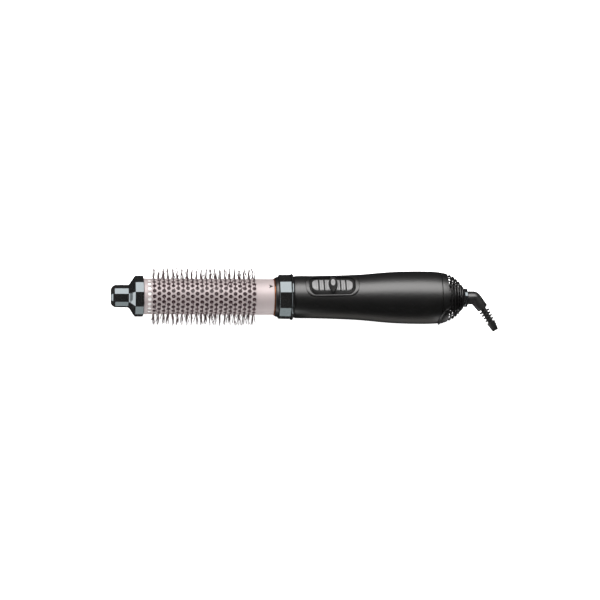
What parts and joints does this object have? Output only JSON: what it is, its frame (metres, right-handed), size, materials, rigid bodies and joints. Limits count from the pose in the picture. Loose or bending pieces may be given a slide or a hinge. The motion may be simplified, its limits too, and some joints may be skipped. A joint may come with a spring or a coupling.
{
  "type": "hot air brush",
  "caption": "Hot air styling brush: bristled perforated barrel with a cool tip, twist-lock collar, handle with slide switch, air inlet dome and cord swivel.",
  "frame": {"origin": "centre of the cool tip's flat nose face", "axes": "+X along the brush from the cool tip towards the cord, +Z out through the switch, +Y to complete a right-handed frame"},
  "size_m": [0.3444, 0.0516, 0.0494],
  "materials": {
    "gloss_black": "high-gloss moulded",
    "soft_black": "soft-touch matte coating",
    "champagne_metal": "satin champagne-rose anodised",
    "nylon_bristle": "satin nylon",
    "copper_seal": "polished copper tone",
    "grey_plastic": "fine satin",
    "inside_plastic": "moulded",
    "mica": "layered mica sheet",
    "heater_wire": "oxidised resistance wire",
    "steel": "plated",
    "circuit_board": "solder-masked laminate",
    "white_plastic": "moulded",
    "rubber": "moulded flexible",
    "red_lead": "insulated wire",
    "filter_mesh": "fine woven mesh"
  },
  "bodies": {
    "handle": {"handle_upper_shell": "soft_black", "handle_lower_shell": "soft_black", "handle_screw_1": "steel", "handle_screw_2": "steel", "outlet_spigot": "inside_plastic", "heater_sleeve": "mica", "heater_frame": "mica", "heater_coil": "heater_wire", "heater_end_plate": "mica", "thermostat": "steel", "thermal_fuse": "steel", "switch_bezel": "soft_black", "slide_switch": "inside_plastic", "circuit_board": "circuit_board", "rectifier": "inside_plastic", "motor_cradle": "inside_plastic", "motor_damper": "rubber", "motor_can": "steel", "motor_end_cap": "white_plastic", "motor_lead_red": "red_lead", "motor_lead_black": "rubber", "rear_grille": "soft_black", "dust_filter": "filter_mesh", "swivel_bush": "white_plastic"},
    "brush_head": {"cool_tip": "gloss_black", "barrel_end_plug": "white_plastic", "tip_screw": "steel", "barrel": "champagne_metal", "bristle_strip_01": "nylon_bristle", "bristle_strip_02": "nylon_bristle", "bristle_strip_03": "nylon_bristle", "bristle_strip_04": "nylon_bristle", "bristle_strip_05": "nylon_bristle", "bristle_strip_06": "nylon_bristle", "bristle_strip_07": "nylon_bristle", "bristle_strip_08": "nylon_bristle", "bristle_strip_09": "nylon_bristle", "bristle_strip_10": "nylon_bristle", "head_socket": "inside_plastic", "seal_ring": "copper_seal"},
    "lock_collar": {"collar_rim": "gloss_black", "lock_collar": "gloss_black", "collar_lip": "gloss_black"},
    "switch_slider": {"switch_slider_plate": "grey_plastic", "switch_thumb_ridge": "gloss_black"},
    "rotor": {"fan": "white_plastic", "motor_shaft": "steel"},
    "cord_swivel": {"swivel_hub": "inside_plastic", "cord_elbow": "rubber"}
  },
  "joints": [
    {"name": "head_release", "type": "slide", "parent": "handle", "child": "brush_head", "axis": [-1, 0, 0], "range_m": [0, 0.04]},
    {"name": "collar_twist", "type": "hinge", "parent": "handle", "child": "lock_collar", "pos_m": [0.153, 0, 0], "axis": [1, 0, 0], "range_deg": [0, 30]},
    {"name": "switch_slide", "type": "slide", "parent": "handle", "child": "switch_slider", "axis": [1, 0, 0], "range_m": [-0.0021, 0.0021]},
    {"name": "fan_spin", "type": "hinge", "parent": "handle", "child": "rotor", "pos_m": [0.2445, 0, 0], "axis": [1, 0, 0], "continuous": true},
    {"name": "elbow_swivel", "type": "hinge", "parent": "handle", "child": "cord_swivel", "pos_m": [0.3075, 0, 0], "axis": [1, 0, 0], "continuous": true}
  ]
}
